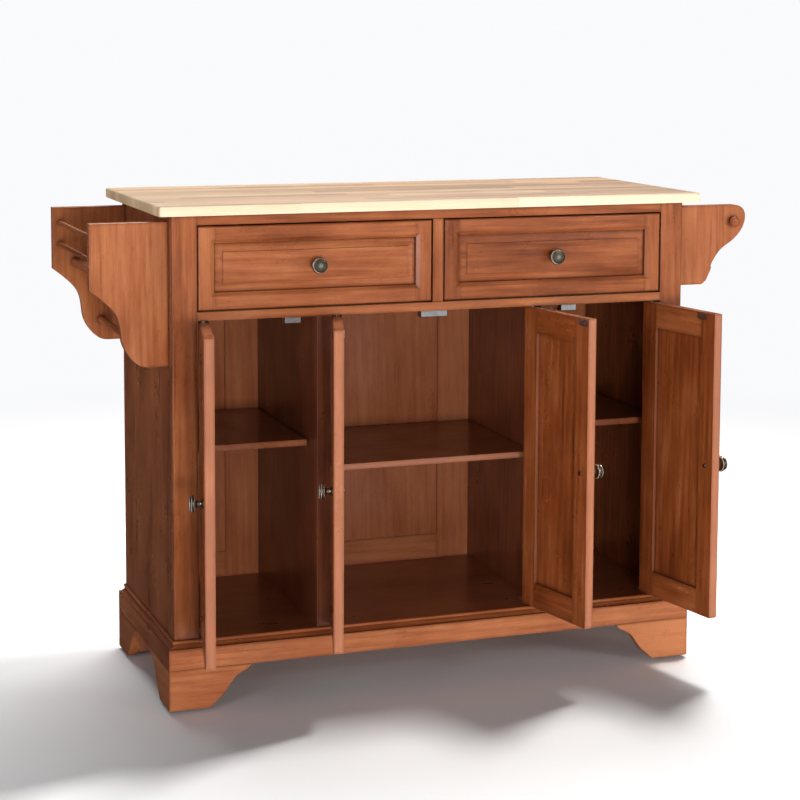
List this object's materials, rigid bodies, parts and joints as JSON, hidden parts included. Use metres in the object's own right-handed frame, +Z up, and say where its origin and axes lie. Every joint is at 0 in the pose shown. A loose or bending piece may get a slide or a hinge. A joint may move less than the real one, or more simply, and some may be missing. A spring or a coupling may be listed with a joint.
{
  "type": "kitchen island cabinet",
  "caption": "Free-standing kitchen island with a pale wood-strip top, raised-panel doors and drawers, shelves, a side spice rack and a towel bar on bracket feet.",
  "frame": {"origin": "middle of the whole cabinet's box at floor level, with the doors open as stored", "axes": "+X to the right along the front, towards the towel bar; +Y from the front to the back; +Z up"},
  "size_m": [1.299, 0.63, 0.914],
  "materials": {
    "maple_worktop": "satin, oiled pale hardwood strips",
    "cherry_stain": "semi-gloss cherry stain",
    "cherry_stain_inside": "satin cherry stain",
    "drawer_box_wood": "clear satin lacquer",
    "antique_brass": "antiqued, satin",
    "zinc_plate": "zinc plated",
    "dark_plastic": "matte"
  },
  "bodies": {
    "cabinet": {"back_frame": "cherry_stain_inside", "back_panels": "cherry_stain_inside", "base_moulding": "cherry_stain", "bracket_foot_back_left": "cherry_stain", "bracket_foot_back_right": "cherry_stain", "bracket_foot_front_left": "cherry_stain", "bracket_foot_front_right": "cherry_stain", "butcher_block_top": "maple_worktop", "cabinet_hinge_plates": "zinc_plate", "drawer_centre_stile": "cherry_stain", "drawer_deck": "cherry_stain_inside", "drawer_divider": "cherry_stain_inside", "drawer_guides": "cherry_stain_inside", "floor_panel": "cherry_stain_inside", "foot_glides": "dark_plastic", "front_stile_left": "cherry_stain", "front_stile_right": "cherry_stain", "magnetic_catches": "zinc_plate", "mid_rail": "cherry_stain", "partition_left": "cherry_stain_inside", "partition_right": "cherry_stain_inside", "plinth_boards": "cherry_stain", "shelf_centre": "cherry_stain_inside", "shelf_left": "cherry_stain_inside", "shelf_pins": "zinc_plate", "shelf_right": "cherry_stain_inside", "side_panel_left": "cherry_stain", "side_panel_right": "cherry_stain", "spice_rack_back_bracket": "cherry_stain", "spice_rack_front_bracket": "cherry_stain", "spice_rack_rails": "cherry_stain", "spice_rack_shelf": "cherry_stain", "top_rail": "cherry_stain", "towel_back_bracket": "cherry_stain", "towel_bar": "cherry_stain", "towel_front_bracket": "cherry_stain"},
    "door_left_middle": {"door_left_middle_frame": "cherry_stain", "door_left_middle_knob": "antique_brass", "door_left_middle_panel": "cherry_stain", "door_left_middle_plates": "zinc_plate"},
    "door_left_outer": {"door_left_outer_frame": "cherry_stain", "door_left_outer_knob": "antique_brass", "door_left_outer_panel": "cherry_stain", "door_left_outer_plates": "zinc_plate"},
    "door_right_middle": {"door_right_middle_frame": "cherry_stain", "door_right_middle_knob": "antique_brass", "door_right_middle_panel": "cherry_stain", "door_right_middle_plates": "zinc_plate"},
    "door_right_outer": {"door_right_outer_frame": "cherry_stain", "door_right_outer_knob": "antique_brass", "door_right_outer_panel": "cherry_stain", "door_right_outer_plates": "zinc_plate"},
    "drawer_left": {"drawer_left_box": "drawer_box_wood", "drawer_left_front_frame": "cherry_stain", "drawer_left_front_panel": "cherry_stain", "drawer_left_knob": "antique_brass"},
    "drawer_right": {"drawer_right_box": "drawer_box_wood", "drawer_right_front_frame": "cherry_stain", "drawer_right_front_panel": "cherry_stain", "drawer_right_knob": "antique_brass"}
  },
  "joints": [
    {"name": "door_left_outer_hinge", "type": "hinge", "parent": "cabinet", "child": "door_left_outer", "pos_m": [-0.44897, -0.10999, 0.418], "axis": [0, 0, -1], "range_deg": [-102, 6]},
    {"name": "door_left_middle_hinge", "type": "hinge", "parent": "cabinet", "child": "door_left_middle", "pos_m": [-0.19997, -0.10999, 0.418], "axis": [0, 0, -1], "range_deg": [-107, 1]},
    {"name": "door_right_middle_hinge", "type": "hinge", "parent": "cabinet", "child": "door_right_middle", "pos_m": [0.18903, -0.10999, 0.418], "axis": [0, 0, 1], "range_deg": [-101, 7]},
    {"name": "door_right_outer_hinge", "type": "hinge", "parent": "cabinet", "child": "door_right_outer", "pos_m": [0.43803, -0.10999, 0.418], "axis": [0, 0, 1], "range_deg": [-100, 8]},
    {"name": "drawer_left_slide", "type": "slide", "parent": "cabinet", "child": "drawer_left", "axis": [0, -1, 0], "range_m": [0, 0.26]},
    {"name": "drawer_right_slide", "type": "slide", "parent": "cabinet", "child": "drawer_right", "axis": [0, -1, 0], "range_m": [0, 0.26]}
  ]
}
